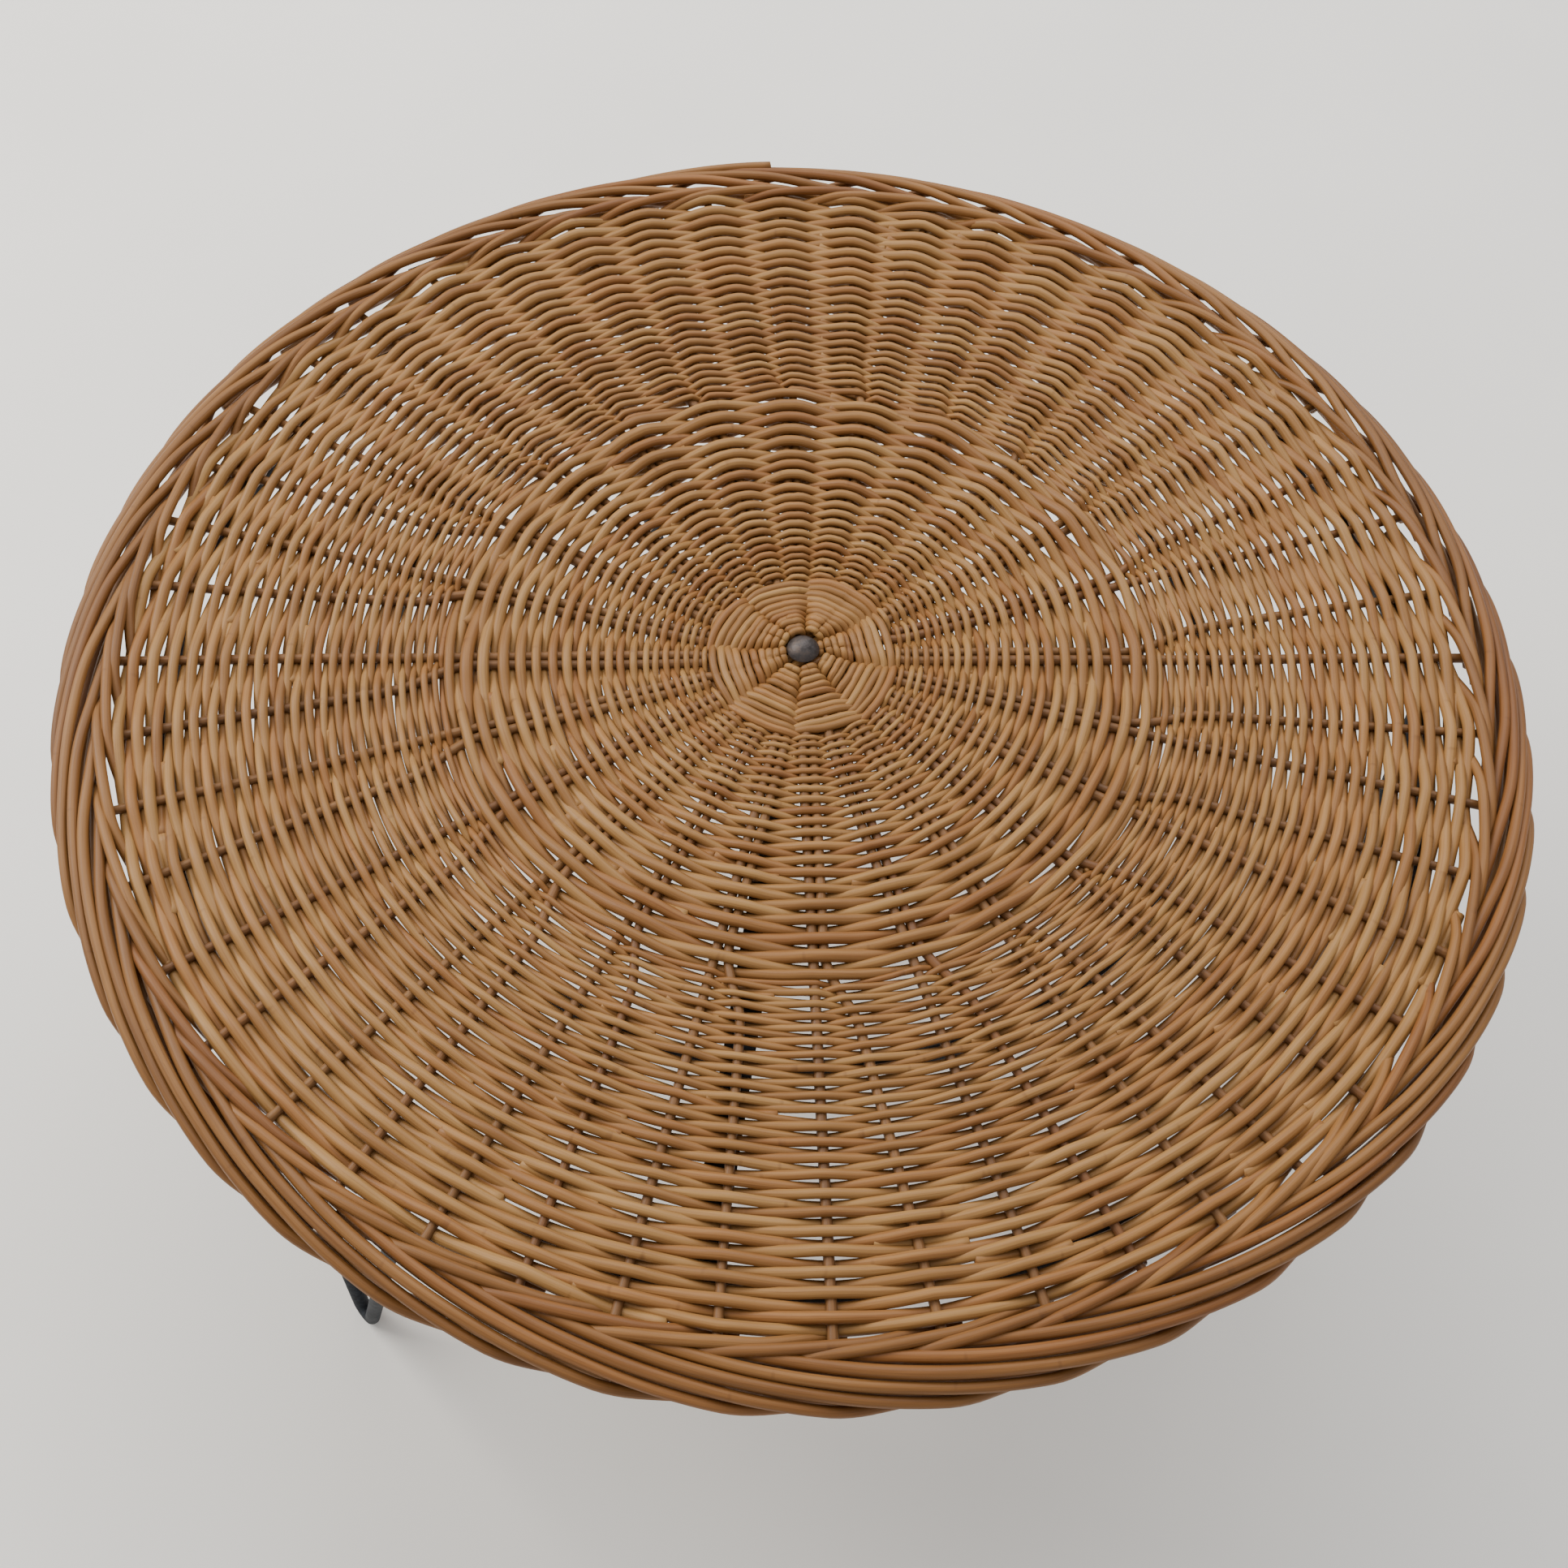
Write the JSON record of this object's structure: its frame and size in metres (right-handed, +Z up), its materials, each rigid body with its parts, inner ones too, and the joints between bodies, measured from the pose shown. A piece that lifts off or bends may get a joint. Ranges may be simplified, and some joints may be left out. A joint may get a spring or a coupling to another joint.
{
  "type": "wicker coffee table",
  "caption": "Low round coffee table: flat woven wicker top with a rolled border, bolted through its hub to a black iron frame on bent-rod hairpin legs.",
  "frame": {"origin": "on the floor, under the centre of the round top", "axes": "+Z up, -Y the front, from which the table is seen; +X to the right"},
  "size_m": [0.7199, 0.72, 0.4098],
  "materials": {
    "weaver_rod": "varnished, satin",
    "stake_rod": "varnished, satin",
    "border_rod": "varnished, satin",
    "black_iron": "worn satin black paint",
    "bolt_iron": "dull, lightly rusted"
  },
  "bodies": {
    "root": {"stake_pair_01": "stake_rod", "stake_pair_02": "stake_rod", "stake_pair_03": "stake_rod", "stake_pair_04": "stake_rod", "stake_pair_05": "stake_rod", "stake_pair_06": "stake_rod", "stake_pair_07": "stake_rod", "stake_pair_08": "stake_rod", "stake_pair_09": "stake_rod", "stake_pair_10": "stake_rod", "stake_pair_11": "stake_rod", "stake_pair_12": "stake_rod", "stake_pair_13": "stake_rod", "stake_pair_14": "stake_rod", "stake_pair_15": "stake_rod", "stake_pair_16": "stake_rod", "stake_pair_17": "stake_rod", "stake_pair_18": "stake_rod", "stake_pair_19": "stake_rod", "stake_pair_20": "stake_rod", "stake_pair_21": "stake_rod", "stake_pair_22": "stake_rod", "stake_pair_23": "stake_rod", "stake_pair_24": "stake_rod", "hub_cross": "stake_rod", "hub_weave": "weaver_rod", "inner_weave": "weaver_rod", "ring_row": "weaver_rod", "outer_weave": "weaver_rod", "border_band": "border_rod", "border_roll": "border_rod", "centre_bolt": "bolt_iron", "bolt_washer": "bolt_iron", "bolt_nut": "bolt_iron", "outer_hoop": "black_iron", "inner_ring": "black_iron", "cross_bar": "black_iron", "leg_front_left": "black_iron", "leg_right": "black_iron", "leg_back": "black_iron"}
  },
  "joints": []
}
